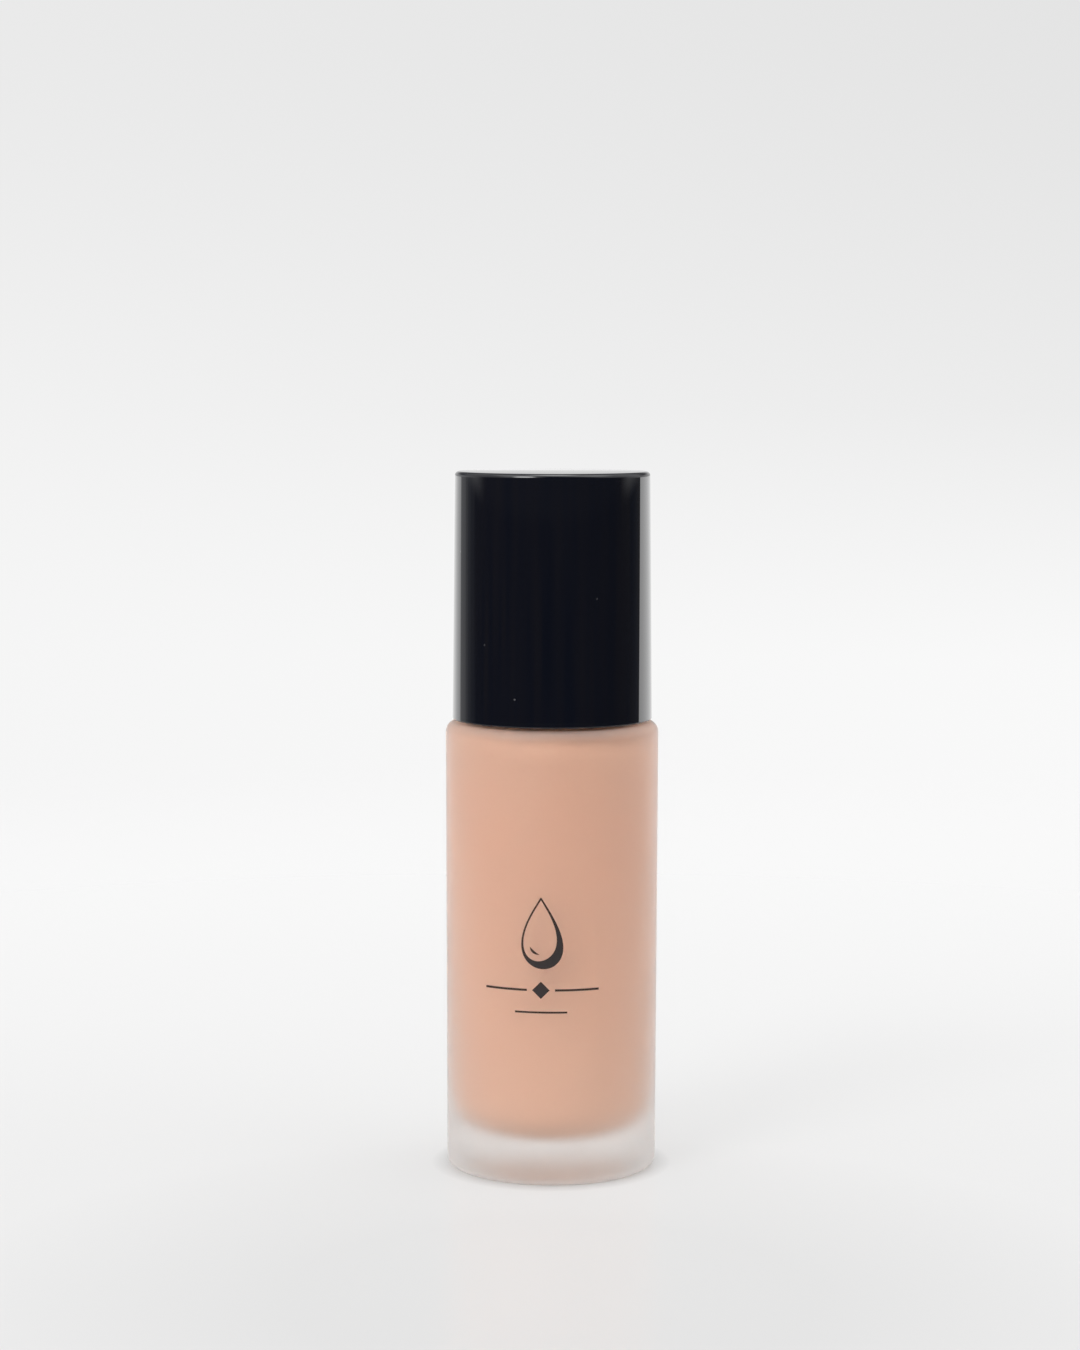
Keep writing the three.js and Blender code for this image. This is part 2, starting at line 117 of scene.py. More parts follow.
HEAD_WALL = 1.0
HEAD_TOP = 1.4  # how thick the button's and the overcap's tops are
NOZZLE_Z = (bottom("nozzle_insert") + top("nozzle_insert")) / 2
NOZZLE_RADIUS = reach("nozzle_insert")
NOZZLE_REACH = -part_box("nozzle_insert")[0].y / MM


# ---- Mesh helpers ----


def rounded(corners, closed=False, steps=7):
    """An outline of corners (radius, z, fillet), with each fillet drawn as an arc."""
    points = []
    count = len(corners)
    for i, (r, z, *rest) in enumerate(corners):
        corner = Vector((r, z))
        fillet = rest[0] if rest else 0
        if not fillet or (not closed and i in (0, count - 1)):
            points.append(corner)
            continue
        back = (Vector(corners[i - 1][:2]) - corner).normalized()
        ahead = (Vector(corners[(i + 1) % count][:2]) - corner).normalized()
        half = back.angle(ahead) / 2
        centre = corner + (back + ahead).normalized() * fillet / math.sin(half)
        start = corner + back * fillet / math.tan(half) - centre
        sweep = (math.pi - 2 * half) * math.copysign(1, ahead.cross(back))
        for k in range(steps + 1):
            points.append(centre + Matrix.Rotation(sweep * k / steps, 2) @ start)
    return points


def finished(name, bm, materials, sharp_deg=SHARP_DEG):
    """A smooth-shaded object in metres from a mesh in mm."""
    bmesh.ops.remove_doubles(bm, verts=bm.verts, dist=1e-5)
    bmesh.ops.recalc_face_normals(bm, faces=bm.faces)
    mesh = bpy.data.meshes.new(name)
    bm.to_mesh(mesh)
    bm.free()
    mesh.transform(Matrix.Scale(MM, 4))
    mesh.shade_smooth()
    mesh.set_sharp_from_angle(angle=math.radians(sharp_deg))
    piece = bpy.data.objects.new(name, mesh)
    bpy.context.scene.collection.objects.link(piece)
    for material in materials if isinstance(materials, (list, tuple)) else [materials]:
        mesh.materials.append(material)
    return piece


def turned_mesh(outline_at, segments, closed):
    """A mesh turned round Z. outline_at(share) gives the outline at each share of the turn."""
    bm = bmesh.new()
    rings = []
    for i in range(segments):
        angle = FRONT + TURN * i / segments
        x, y = math.cos(angle), math.sin(angle)
        rings.append([bm.verts.new((r * x, r * y, z)) for r, z in outline_at(i / segments)])
    count = len(rings[0])
    for i, ring in enumerate(rings):
        after = rings[(i + 1) % segments]
        for j in range(count if closed else count - 1):
            k = (j + 1) % count
            corners = [ring[j], after[j], after[k], ring[k]]
            if ring[j].co.xy.length < 1e-6:
                corners.remove(after[j])
            if ring[k].co.xy.length < 1e-6:
                corners.remove(after[k])
            if len(corners) > 2:
                bm.faces.new(corners)
    return bm


def turned(name, corners, material, closed=True, segments=96, steps=6):
    """A piece turned from one outline. A closed one is a ring. An open one ends on the axis."""
    points = rounded(corners, closed, steps)
    return finished(name, turned_mesh(lambda share: points, segments, closed), material)


def thread_section(share, wall, height, start_z, points=9):
    """A thread's section on a straight wall. height is negative where it stands inwards."""
    z = start_z + share * THREAD_PITCH
    full = min(1, min(share, 1 - share) / THREAD_RUN_OUT)
    section = []
    for k in range(points):
        across = 2 * k / (points - 1) - 1  # -1 at the foot's low edge, 1 at its high edge
        rise = min(1, (1 - abs(across)) / (1 - THREAD_CREST / THREAD_FOOT))
        rise = rise * rise * (3 - 2 * rise)  # rounds the root and the crest
        section.append((wall + height * full * rise, z + across * THREAD_FOOT / 2))
    return section


def cylinder_between(start, end, radius, segments=48):
    """A plain round cutter from start to end, in mm."""
    start, end = Vector(start), Vector(end)
    along = end - start
    bm = bmesh.new()
    bmesh.ops.create_cone(
        bm, cap_ends=True, segments=segments, radius1=radius, radius2=radius, depth=along.length
    )
    turn = along.to_track_quat("Z", "Y").to_matrix().to_4x4()
    bm.transform(Matrix.Translation((start + end) / 2) @ turn)
    return finished("cutter", bm, [])


def cut(piece, *cutters):
    """Takes the cutters out of the piece, and removes them."""
    for cutter in cutters:
        modifier = piece.modifiers.new("cut", "BOOLEAN")
        modifier.operation = "DIFFERENCE"
        modifier.solver = "EXACT"
        modifier.object = cutter
    bpy.context.view_layer.update()
    evaluated = piece.evaluated_get(bpy.context.evaluated_depsgraph_get())
    baked = bpy.data.meshes.new_from_object(evaluated)
    piece.modifiers.clear()
    piece.data = baked
    for cutter in cutters:
        bpy.data.objects.remove(cutter)
    piece.data.shade_smooth()
    piece.data.set_sharp_from_angle(angle=math.radians(SHARP_DEG))


def fit(piece, body, slot, *nodes):
    """Puts a finished piece on its body, in place of its CAD nodes."""
    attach(piece, body)
    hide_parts(*nodes)


# ---- Materials ----


def new_material(name, **values):
    """A Principled material and its shader node, with plain socket values."""
    material = bpy.data.materials.new(name)
    material.use_nodes = True
    shader = material.node_tree.nodes["Principled BSDF"]
    for socket, value in values.items():
        shader.inputs[socket.replace("_", " ")].default_value = value
    return material, shader


def add(tree, kind, links=None, **values):
    """A node of a kind such as TexNoise, with plain values and links on its sockets."""
    node = tree.nodes.new("ShaderNode" + kind)
    for socket, value in values.items():
        node.inputs[socket.replace("_", " ")].default_value = value
    for socket, source in (links or {}).items():
        tree.links.new(source, node.inputs[socket])
    return node


def calc(tree, operation, *values):
    """A math node on numbers and outputs."""
    node = tree.nodes.new("ShaderNodeMath")
    node.operation = operation
    for socket, value in zip(node.inputs, values):
        if isinstance(value, (int, float)):
            socket.default_value = value
        else:
            tree.links.new(value, socket)
    return node.outputs["Value"]


def ranged(tree, value, low, high, to_low=0.0, to_high=1.0, smooth=False):
    """A value between low and high, moved to between to_low and to_high, and kept there."""
    limits = {"From_Min": low, "From_Max": high, "To_Min": to_low, "To_Max": to_high}
    node = add(tree, "MapRange", {"Value": value}, **limits)
    node.interpolation_type = "SMOOTHSTEP" if smooth else "LINEAR"
    return node.outputs["Result"]


def object_place(tree, stretch=(1, 1, 1)):
    """Object coordinates, scaled along each axis."""
    place = add(tree, "TexCoord").outputs["Object"]
    return add(tree, "Mapping", {"Vector": place}, Scale=stretch).outputs["Vector"]


def noise(tree, vector, scale, detail=2.0, roughness=0.5):
    """Noise with so many waves to the metre."""
    values = {"Scale": scale, "Detail": detail, "Roughness": roughness}
    return add(tree, "TexNoise", {"Vector": vector}, **values).outputs["Fac"]


def blended(tree, share, low, high):
    """A colour from low to high, by a share. low and high are colours or outputs."""
    node = tree.nodes.new("ShaderNodeMix")
    node.data_type = "RGBA"
    sockets = {s.identifier: s for s in node.inputs}
    for name, colour in (("A_Color", low), ("B_Color", high)):
        if isinstance(colour, tuple):
            sockets[name].default_value = (*colour, 1)
        else:
            tree.links.new(colour, sockets[name])
    tree.links.new(share, sockets["Factor_Float"])
    return next(s for s in node.outputs if s.identifier == "Result_Color")


def bump(tree, shader, height, strength, distance):
    """Bump from a height of 0 to 1, for a relief of distance in metres."""
    node = add(tree, "Bump", {"Height": height}, Strength=strength, Distance=distance)
    tree.links.new(node.outputs["Normal"], shader.inputs["Normal"])


def frosted_glass():
    """Acid-etched glass: a fine even grain that scatters light, and a milky veil."""
    material, shader = new_material("frosted_glass", Transmission_Weight=0.93, IOR=1.5)
    shader.inputs["Base Color"].default_value = (0.985, 0.97, 0.955, 1)
    shader.inputs["Sheen Weight"].default_value = 0.32
    shader.inputs["Sheen Roughness"].default_value = 0.45
    tree = material.node_tree
    cloud = noise(tree, object_place(tree), 90, detail=3)
    tree.links.new(ranged(tree, cloud, 0.3, 0.7, 0.5, 0.56), shader.inputs["Roughness"])
    bump(tree, shader, noise(tree, object_place(tree), 9000, detail=1), 0.08, 0.00002)
    return material


def clear_glass():
    """The moulded inside face, with the slight waves of pressed glass."""
    values = {"Transmission_Weight": 1.0, "IOR": 1.5, "Roughness": 0.03}
    material, shader = new_material("clear_glass", **values)
    shader.inputs["Base Color"].default_value = (0.99, 0.985, 0.98, 1)
    tree = material.node_tree
    bump(tree, shader, noise(tree, object_place(tree), 70, detail=1), 0.05, 0.0002)
    return material


PEACH = (0.93, 0.55, 0.375)
PEACH_DEEP = (0.915, 0.525, 0.35)


def foundation():
    """An opaque peach emulsion, very slightly uneven."""
    material, shader = new_material("foundation", Roughness=0.4, IOR=1.4)
    tree = material.node_tree
    swirl = noise(tree, object_place(tree, (1, 1, 0.5)), 60, detail=3, roughness=0.6)
    colour = blended(tree, ranged(tree, swirl, 0.35, 0.65), PEACH_DEEP, PEACH)
    tree.links.new(colour, shader.inputs["Base Color"])
    return material


GLOSS_DARK = (0.0030, 0.0042, 0.0092)
GLOSS_LIGHT = (0.0069, 0.0068, 0.0100)
DUST = (0.12, 0.12, 0.125)
WRAP_RADIUS = 0.015  # the cap's radius in metres, on which the dust is spread


def gloss_black():
    """Polished black ABS, with faint draw lines up its sides and a little dust."""
    material, shader = new_material("gloss_black", IOR=1.5)
    tree = material.node_tree
    streaks = noise(tree, object_place(tree, (1, 1, 0.01)), 1100, detail=2)
    tree.links.new(ranged(tree, streaks, 0.3, 0.7, 0.015, 0.045), shader.inputs["Roughness"])
    tint = noise(tree, object_place(tree, (1, 1, 0.02)), 420, detail=3, roughness=0.7)
    plain = blended(tree, ranged(tree, tint, 0.42, 0.68), GLOSS_DARK, GLOSS_LIGHT)
    place = add(tree, "SeparateXYZ", {"Vector": object_place(tree)}).outputs
    bearing = calc(tree, "ARCTAN2", place["X"], place["Y"])
    around = calc(tree, "MULTIPLY", bearing, WRAP_RADIUS)
    wrapped = add(tree, "CombineXYZ", {"X": around, "Y": place["Z"]}).outputs["Vector"]
    specks = add(tree, "TexVoronoi", {"Vector": wrapped}, Scale=170, Randomness=1.0)
    specks.voronoi_dimensions = "2D"
    near = ranged(tree, specks.outputs["Distance"], 0.016, 0.034, 1, 0)
    pick = add(tree, "SeparateColor", {"Color": specks.outputs["Color"]}).outputs["Red"]
    normal = add(tree, "TexCoord").outputs["Normal"]
    facing = add(tree, "SeparateXYZ", {"Vector": normal}).outputs["Z"]
    upright = ranged(tree, facing, 0.3, 0.5, 1, 0)  # the wrap only holds on the sides
    chosen = ranged(tree, pick, 0.76, 1.0, 0.0, 0.9)  # one cell in four has a speck
    dusty = calc(tree, "MULTIPLY", calc(tree, "MULTIPLY", near, upright), chosen)
    tree.links.new(blended(tree, dusty, plain, DUST), shader.inputs["Base Color"])
    bump(tree, shader, noise(tree, object_place(tree), 110, detail=1), 0.03, 0.0002)
    return material


def satin_black():
    """Moulded black plastic with a fine even texture."""
    material, shader = new_material("satin_black", Base_Color=(0.012, 0.012, 0.014, 1))
    tree = material.node_tree
    grain = noise(tree, object_place(tree), 1800, detail=2)
    tree.links.new(ranged(tree, grain, 0.3, 0.7, 0.33, 0.43), shader.inputs["Roughness"])
    bump(tree, shader, grain, 0.1, 0.00003)
    return material


def natural_plastic():
    """Unpigmented polypropylene: milky, and light goes a little way in."""
    material, shader = new_material(
        "natural_plastic", Roughness=0.32, Subsurface_Weight=0.5, Subsurface_Scale=0.0012
    )
    shader.inputs["Subsurface Radius"].default_value = (1.0, 0.9, 0.8)
    tree = material.node_tree
    haze = noise(tree, object_place(tree), 240, detail=3)
    colour = blended(tree, haze, (0.72, 0.72, 0.69), (0.80, 0.80, 0.775))
    tree.links.new(colour, shader.inputs["Base Color"])
    bump(tree, shader, noise(tree, object_place(tree), 1400), 0.06, 0.00004)
    return material


def white_foam():
    """Closed-cell foam, with its cells showing at the cut edge."""
    material, shader = new_material("white_foam", Roughness=0.9)
    tree = material.node_tree
    cells = add(tree, "TexVoronoi", {"Vector": object_place(tree)}, Scale=3200).outputs["Distance"]
    colour = blended(tree, cells, (0.82, 0.81, 0.78), (0.62, 0.61, 0.58))
    tree.links.new(colour, shader.inputs["Base Color"])
    bump(tree, shader, cells, 0.5, 0.0001)
    return material


def stainless():
    """Drawn steel, with faint lines round the wire."""
    material, shader = new_material("stainless", Base_Color=(0.62, 0.63, 0.64, 1), Metallic=1.0)
    tree = material.node_tree
    lines = noise(tree, object_place(tree, (1, 1, 8)), 700, detail=3)
    tree.links.new(ranged(tree, lines, 0.3, 0.7, 0.14, 0.3), shader.inputs["Roughness"])
    return material


def ink():
    """Screen-printed ink: nearly black, with a faint weave from the screen."""
    material, shader = new_material("ink", Roughness=0.45)
    tree = material.node_tree
    weave = noise(tree, object_place(tree), 5200, detail=1)
    colour = blended(tree, weave, (0.020, 0.014, 0.014), (0.030, 0.022, 0.022))
    tree.links.new(colour, shader.inputs["Base Color"])
    bump(tree, shader, weave, 0.15, 0.00002)
    return material


# ---- The bottle, its print and what is in it ----


def make_bottle(frosted):
    """The glass, frosted outside and polished inside, with a push-up under its base."""

    def outline_at(share):
        return rounded(
            [
                (0, 1.2),
                (7.8, 0.9, 4),
                (10.2, 0, 0.5),
                (GLASS_BASE_RADIUS, 0, 1.2),
                (GLASS_RADIUS, SHOULDER_Z, 1.7),
                (NECK_RADIUS, SHOULDER_Z, 0.7),
                *thread_section(share, NECK_RADIUS, 0.8, THREAD_Z),
                (NECK_RADIUS, LIP_Z, 0.5),
                (NECK_BORE, LIP_Z, 0.4),
                (NECK_BORE, CEILING_Z, NECK_CORNER),
                (INNER_RADIUS, CEILING_Z, CEILING_CORNER),
                (INNER_BASE_RADIUS, FLOOR_Z, INNER_CORNER),
                (0, FLOOR_Z - FLOOR_DISH),
            ],
            steps=9,
        )

    bm = turned_mesh(outline_at, 192, False)
    slack, low = 0.02, FLOOR_Z - FLOOR_DISH - 0.1
    for face in bm.faces:
        middle = face.calc_center_median()
        radius = middle.xy.length
        in_body = radius < INNER_RADIUS + slack and low < middle.z < CEILING_Z + slack
        in_neck = radius < NECK_BORE + slack and middle.z >= CEILING_Z
        face.material_index = 1 if in_body or in_neck else 0
    bottle = finished("bottle", bm, [frosted, clear_glass()], 50)
    fit(bottle, "bottle", "frosted_glass", "glass_bottle")


def make_fluid():
    """The fluid wets the glass: it reaches a hair into the wall, so no film of air shows."""
    wet = 0.04
    barrel = BARREL_RADIUS + 0.3  # the fluid's hole round the pump's barrel
    socket, socket_z = 3.2, SOCKET_TOP_Z - 6.8
    tube, tube_z = 1.95, bottom("dip_tube") - 0.4
    level = LIP_Z - 9.0
    fluid = turned(
        "foundation_fluid_fill",
        [
            (0, FLOOR_Z - FLOOR_DISH - wet),
            (INNER_BASE_RADIUS + wet, FLOOR_Z - wet, INNER_CORNER),
            (INNER_RADIUS + wet, CEILING_Z + wet, CEILING_CORNER),
            (NECK_BORE + wet, CEILING_Z + wet, NECK_CORNER),
            (NECK_BORE + wet, level + 0.3, 0.1),
            (NECK_BORE - 0.5, level, 0.4),
            (barrel, level, 0.2),
            (barrel, SHELF_Z - 0.9),
            (socket, SHELF_Z - 3.4),
            (socket, socket_z),
            (tube, socket_z),
            (tube, tube_z),
            (0, tube_z),
        ],
        foundation(),
        closed=False,
        segments=160,
        steps=9,
    )
    fit(fluid, "bottle", "foundation", "foundation_fluid")


INK_HEIGHT = 0.03  # how far the ink stands proud of the glass, in mm
INK_ROOT = -0.02  # and its back face, just inside the glass
PRINT_SHIFT = -1.65  # the print's middle, round the glass from the front


def droplet_point(t):
    """A point of the droplet's centreline, in mm from its lowest point, for t from 0 to 1 from
    the tip round the right-hand side."""
    angle = TURN * t
    height, widest, sharpness = 10.0, 3.7605, 1.15
    u = widest * math.sin(angle) * math.sin(angle / 2) ** sharpness
    return Vector((u, height * (1 + math.cos(angle)) / 2))


def stroke(point_at, half_width_at, count, closed):
    """Pairs of edge points along a drawn line."""
    step = 1e-3  # the share of the line over which its direction is taken
    pairs = []
    for i in range(count if closed else count + 1):
        t = i / count
        before = point_at((t - step) % 1 if closed else max(0, t - step))
        after = point_at((t + step) % 1 if closed else min(1, t + step))
        side = (after - before).orthogonal().normalized() * half_width_at(t)
        pairs.append((point_at(t) + side, point_at(t) - side))
    return pairs


def make_print():
    """A generic mark: a droplet over a rule with a lozenge, and a short rule below it."""
    low = 25.65  # the foot of the print
    rule, rule_gap, rule_z = 17.7, 2.1, low + 4.2
    short_rule, short_z = 7.9, low + 0.85
    lozenge_size = 1.3
    drop_z = low + 8.0
    glint_radius, glint_z = 1.75, 3.3
    least = 0.02  # half the width of a pointed end, so that no face has zero area

    def moved(point_at, u, z):
        return lambda t: point_at(t) + Vector((u, z))

    def line(length, z, start=0.0):
        """Half a rule, from start to its outer end."""
        return lambda t: Vector((start + (length / 2 - start) * t, z))

    def mirrored(point_at):
        return lambda t: Vector((-point_at(t).x, point_at(t).y))

    def swelling(t):
        """The droplet's line is thin at the tip and heavy at its lower right."""
        return 0.13 + 0.62 * math.exp(-(((t - 0.42) / 0.15) ** 2))

    def glint(t):
        angle = math.radians(200 + 62 * t)
        u, z = glint_radius * math.cos(angle), glint_radius * math.sin(angle)
        return Vector((u, glint_z + z))

    def thin(width):
        return lambda t: width

    def pointed(width):
        return lambda t: width * math.sin(math.pi * min(max(t, 0.02), 0.98)) + least

    def lozenge(t):
        return Vector((lozenge_size * (2 * t - 1), rule_z))

    def lozenge_half(t):
        return max(least, lozenge_size * (1 - abs(2 * t - 1)))

    drawn = [
        (moved(droplet_point, 0, drop_z), swelling, 160, True),
        (moved(glint, 0, drop_z), pointed(0.16), 32, False),
        (line(rule, rule_z, rule_gap), thin(0.16), 40, False),
        (mirrored(line(rule, rule_z, rule_gap)), thin(0.16), 40, False),
        (lozenge, lozenge_half, 20, False),
        (line(short_rule, short_z), thin(0.14), 24, False),
        (mirrored(line(short_rule, short_z)), thin(0.14), 24, False),
    ]
    bm = bmesh.new()
    for point_at, half_width_at, count, closed in drawn:
        add_printed(bm, stroke(point_at, half_width_at, count, closed), closed)
    mark = finished("printed_mark", bm, ink(), 30)
    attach(mark, "bottle")


def add_printed(bm, pairs, closed):
    """Wraps a drawn line onto the glass as a thin closed ribbon."""

    def on_glass(point, proud):
        radius = GLASS_BASE_RADIUS + (GLASS_RADIUS - GLASS_BASE_RADIUS) * point.y / SHOULDER_Z
        angle = FRONT + (point.x + PRINT_SHIFT) / radius
        radius += proud
        return bm.verts.new((radius * math.cos(angle), radius * math.sin(angle), point.y))

    sections = [
        [
            on_glass(a, INK_HEIGHT),
            on_glass(b, INK_HEIGHT),
            on_glass(b, INK_ROOT),
            on_glass(a, INK_ROOT),
        ]
        for a, b in pairs
    ]
    for i in range(len(sections) if closed else len(sections) - 1):
        here, there = sections[i], sections[(i + 1) % len(sections)]
        for j in range(4):
            bm.faces.new((here[j], there[j], there[(j + 1) % 4], here[(j + 1) % 4]))
    if not closed:
        bm.faces.new(sections[0])
        bm.faces.new(sections[-1])


# ---- The overcap ----


def make_overcap(black):
    """The tall shell, which narrows a little towards its flat top."""
    radius = reach("overcap_shell")
    low, high = bottom("overcap_shell"), top("overcap_shell")
    ceiling = high - HEAD_TOP
    shell = turned(
        "overcap",
        [
            (0, ceiling),
            (CAP_BORE, ceiling, 0.8),
            (CAP_BORE, low, 0.2),
            (radius, low, 0.25),
            (radius - CAP_TAPER, high, CAP_CORNER),
            (0, high),
        ],
        black,
        closed=False,
        segments=256,
        steps=14,
    )
    fit(shell, "overcap", "black_gloss", "overcap_shell")


def make_liner(satin):
    """A sleeve with upright ribs inside, which fade in at both ends."""
    outer, inner, tip = reach("overcap_liner"), 12.85, 12.6
    low, high = bottom("overcap_liner"), top("overcap_liner")
    height = high - low
    rib_half = 0.4 / inner / TURN  # half a rib's width, as a share of the turn
    rows = [0.25, 1.9, 2.6, 10.0, 18.0, 26.0, height - 2.6, height - 1.9, height - 0.15]

    def outline_at(share):
        to_rib = abs((share * LINER_RIBS + 0.5) % 1 - 0.5) / LINER_RIBS
        rib = max(0.0, min(1.0, 1.6 - to_rib / rib_half))
        inside = []
        for i, row in enumerate(rows):
            full = 1 if 2 <= i <= len(rows) - 3 else 0
            inside.append((inner - (inner - tip) * rib * full, low + row))
        return [
            (outer - 0.2, low),
            (outer, low + 0.2),
            (outer, high - 0.1),
            (outer - 0.1, high),
            (inner + 0.15, high),
            *reversed(inside),
            (inner + 0.2, low),
        ]

    bm = turned_mesh(outline_at, LINER_RIBS * 24, True)
    liner = finished("overcap_inner_sleeve", bm, satin)
    fit(liner, "overcap", "black_satin", "overcap_liner")


# ---- The collar ----


def make_collar(black, natural):
    """The closure, whose thread follows the neck's, and the black cover pushed on to it."""
    radius, inner = reach("threaded_closure"), 10.1
    low, high = bottom("threaded_closure"), top("threaded_closure")
    disc_top, disc_low, hole, rim = high - 1.1, high - 2.5, 6.9, 1.6

    def outline_at(share):
        section = thread_section(share, inner, -0.75, THREAD_Z - THREAD_PITCH / 2)
        return rounded(
            [
                (inner, low, 0.3),
                (radius, low, 0.3),
                (radius, high, 0.4),
                (radius - rim, high, 0.3),
                (radius - rim, disc_top),
                (hole, disc_top),
                (hole, disc_low),
                (inner, disc_low),
                *reversed(section),
            ],
            closed=True,
            steps=5,
        )

    closure = finished("screw_closure", turned_mesh(outline_at, 160, True), natural, 40)
    fit(closure, "collar", "natural_plastic", "threaded_closure")
    outer, bore = reach("collar_sleeve"), 11.5
    low, high = bottom("collar_sleeve"), top("collar_sleeve")
    sleeve = turned(
        "collar_cover",
        [
            (bore, low, 0.2),
            (outer, low, 0.3),
            (outer, high, 0.9),
            (hole, high, 0.3),
            (hole, high - 1.0),
            (bore, high - 1.0, 0.3),
        ],
        black,
        segments=256,
        steps=10,
    )
    fit(sleeve, "collar", "black_gloss", "collar_sleeve")


# ---- The pump ----


def make_housing(natural):
    """The barrel, from the dip tube's socket and the ball's seat up to the flange and rim."""
    low, high = bottom("pump_housing"), top("pump_housing")
    socket, wall, inlet = 1.85, 1.0, 0.75
    ball_room, seat_z = 1.75, bottom("inlet_ball") + 0.05
    shoulder = 5.9
    flange, flange_top, rim_bore = reach("pump_housing"), FLANGE_Z + 1.1, 5.0
    housing = turned(
        "pump_barrel",
        [
            (socket, low, 0.15),
            (socket + wall, low, 0.3),
            (socket + wall, SHELF_Z - 3.2, 0.5),
            (BARREL_RADIUS, SHELF_Z - 0.9, 0.5),
            (BARREL_RADIUS, FLANGE_Z - 4.2, 0.4),
            (shoulder, FLANGE_Z - 3.0, 0.4),
            (shoulder, FLANGE_Z, 0.1),
            (flange, FLANGE_Z, 0.15),
            (flange, flange_top, 0.15),
            (RIM_RADIUS, flange_top, 0.15),
            (RIM_RADIUS, high, 0.2),
            (rim_bore, high, 0.1),
            (rim_bore, FLANGE_Z + 0.2, 0.2),
            (HOUSING_BORE, FLANGE_Z - 0.8, 0.2),
            (HOUSING_BORE, SHELF_Z, 0.1),
            (ball_room, SHELF_Z, 0.1),
            (ball_room, seat_z + 1.3, 0.1),
            (inlet, seat_z, 0.1),
            (inlet, SOCKET_TOP_Z),
            (socket, SOCKET_TOP_Z),
        ],
        natural,
    )
    fit(housing, "pump", "natural_plastic", "pump_housing")


def make_stem_guide(natural):
    """It snaps into the housing's rim, holds the wiper and guides the stem."""
    low, high = bottom("stem_guide"), top("stem_guide")
    step = top("pump_housing") + 0.2
    plug, hole = 4.8, STEM_RADIUS + 0.25
    room, room_top = WIPER_RADIUS + 0.15, top("stem_wiper") + 0.15  # for the wiper
    guide = turned(
        "stem_guide_ring",
        [
            (room, low),
            (plug, low, 0.2),
            (plug, step, 0.1),
            (RIM_RADIUS, step, 0.15),
            (RIM_RADIUS, high, 0.6),
            (hole, high, 0.3),
            (hole, room_top),
            (room, room_top),
        ],
        natural,
        segments=128,
    )
    fit(guide, "pump", "natural_plastic", "stem_guide")


def make_small_rings(natural, foam):
    """The wiper, the gasket and the spring's seat, which are plain turned rings."""
    low, high, hole = bottom("stem_wiper"), top("stem_wiper"), STEM_RADIUS + 0.12
    wiper = turned(
        "wiper_ring",
        [
            (hole, low, 0.25),
            (WIPER_RADIUS, low, 0.15),
            (WIPER_RADIUS, high, 0.15),
            (hole, high, 0.25),
        ],
        natural,
    )
    fit(wiper, "pump", "natural_plastic", "stem_wiper")
    low, high, hole, rim = bottom("neck_gasket"), top("neck_gasket"), 6.3, reach("neck_gasket")
    gasket = turned(
        "gasket_ring",
        [(hole, low, 0.15), (rim, low, 0.25), (rim, high, 0.25), (hole, high, 0.15)],
        foam,
    )
    fit(gasket, "pump", "white_foam", "neck_gasket")
    low, high, hole, rim = bottom("spring_seat"), top("spring_seat"), 0.95, reach("spring_seat")
    peg, step = 1.8, low + 1.05
    seat = turned(
        "spring_seat_bush",
        [
            (hole, low, 0.15),
            (rim, low, 0.2),
            (rim, step, 0.15),
            (peg, step, 0.1),
            (peg, high, 0.3),
            (hole, high, 0.15),
        ],
        natural,
    )
    fit(seat, "pump", "natural_plastic", "spring_seat")


def make_dip_tube(natural):
    """An extruded tube, cut square at its top and on a slant at its foot."""
    radius, bore, slant = reach("dip_tube"), 0.95, 1.6
    low, high = bottom("dip_tube"), top("dip_tube")
    outline = [(bore, low), (radius, low), (radius, high), (bore, high)]
    bm = turned_mesh(lambda share: outline, 64, True)
    for vert in bm.verts:
        if vert.co.z < low + 1:
            vert.co.z += slant * (radius - vert.co.x) / (2 * radius)
    tube = finished("dip_tube_body", bm, natural)
    fit(tube, "pump", "natural_plastic", "dip_tube")


def make_spring(steel):
    """A compression spring with closed end coils."""
    low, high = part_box("return_spring")
    wire = 0.25
    radius = high.x / MM - wire
    start, end = low.z / MM + wire, high.z / MM - wire
    coils, steps, sides = 7.5, 420, 12
    end_rise = 0.52  # what one end coil climbs
    middle_rise = (end - start - 2 * end_rise) / (coils - 2)
    section = []
    for k in range(sides):
        around = TURN * k / sides
        section.append((wire * math.cos(around), wire * math.sin(around)))
    bm = bmesh.new()
    rings = []
    for i in range(steps + 1):
        turn = coils * i / steps
        z = start + end_rise * min(turn, 1) + middle_rise * min(max(turn - 1, 0), coils - 2)
        z += end_rise * max(turn - coils + 1, 0)
        angle = TURN * turn
        x, y = math.cos(angle), math.sin(angle)
        rings.append(
            [bm.verts.new(((radius + r) * x, (radius + r) * y, z + up)) for r, up in section]
        )
    for here, there in zip(rings, rings[1:]):
        for k in range(sides):
            bm.faces.new((here[k], here[(k + 1) % sides], there[(k + 1) % sides], there[k]))
    bm.faces.new(rings[0])
    bm.faces.new(rings[-1])
    spring = finished("spring_coil", bm, steel, 50)
    fit(spring, "pump", "stainless_steel", "return_spring")
    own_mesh(spring)


def make_ball(steel):
    """The inlet valve's ball."""
    bm = bmesh.new()
    low, high = bottom("inlet_ball"), top("inlet_ball")
    bmesh.ops.create_icosphere(bm, subdivisions=4, radius=(high - low) / 2)
    bm.transform(Matrix.Translation((0, 0, (low + high) / 2)))
    fit(finished("check_ball", bm, steel, 180), "ball", "stainless_steel", "inlet_ball")


